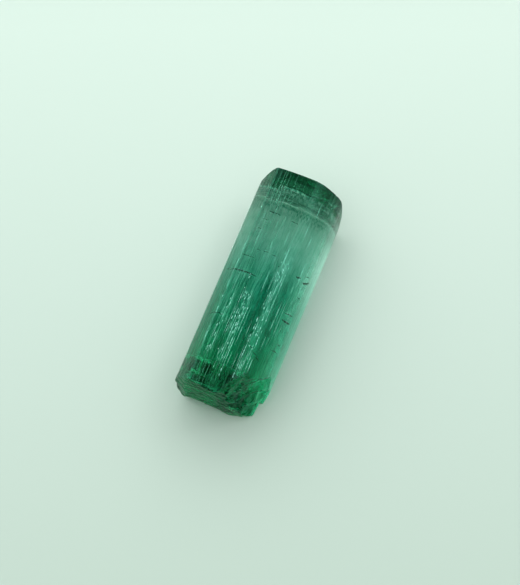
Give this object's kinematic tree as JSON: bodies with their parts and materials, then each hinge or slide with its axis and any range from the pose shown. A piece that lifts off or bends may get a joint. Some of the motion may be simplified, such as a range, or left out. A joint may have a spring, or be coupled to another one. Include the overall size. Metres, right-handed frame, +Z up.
{
  "type": "tourmaline crystal",
  "caption": "Rough clear blue-green tourmaline crystal: a striated prism broken off at both ends, lying on one of its prism faces.",
  "frame": {"origin": "on the surface it rests on, under the middle of its bounding box", "axes": "+Y along the prism from the scarred near end to the far end, +Z up, out of the surface it rests on"},
  "size_m": [0.0074, 0.02, 0.0058],
  "materials": {
    "tourmaline": "vitreous, clear blue-green tourmaline, greyer and paler towards its far end, finely striated along its length"
  },
  "bodies": {
    "root": {"tourmaline_crystal": "tourmaline"}
  },
  "joints": []
}
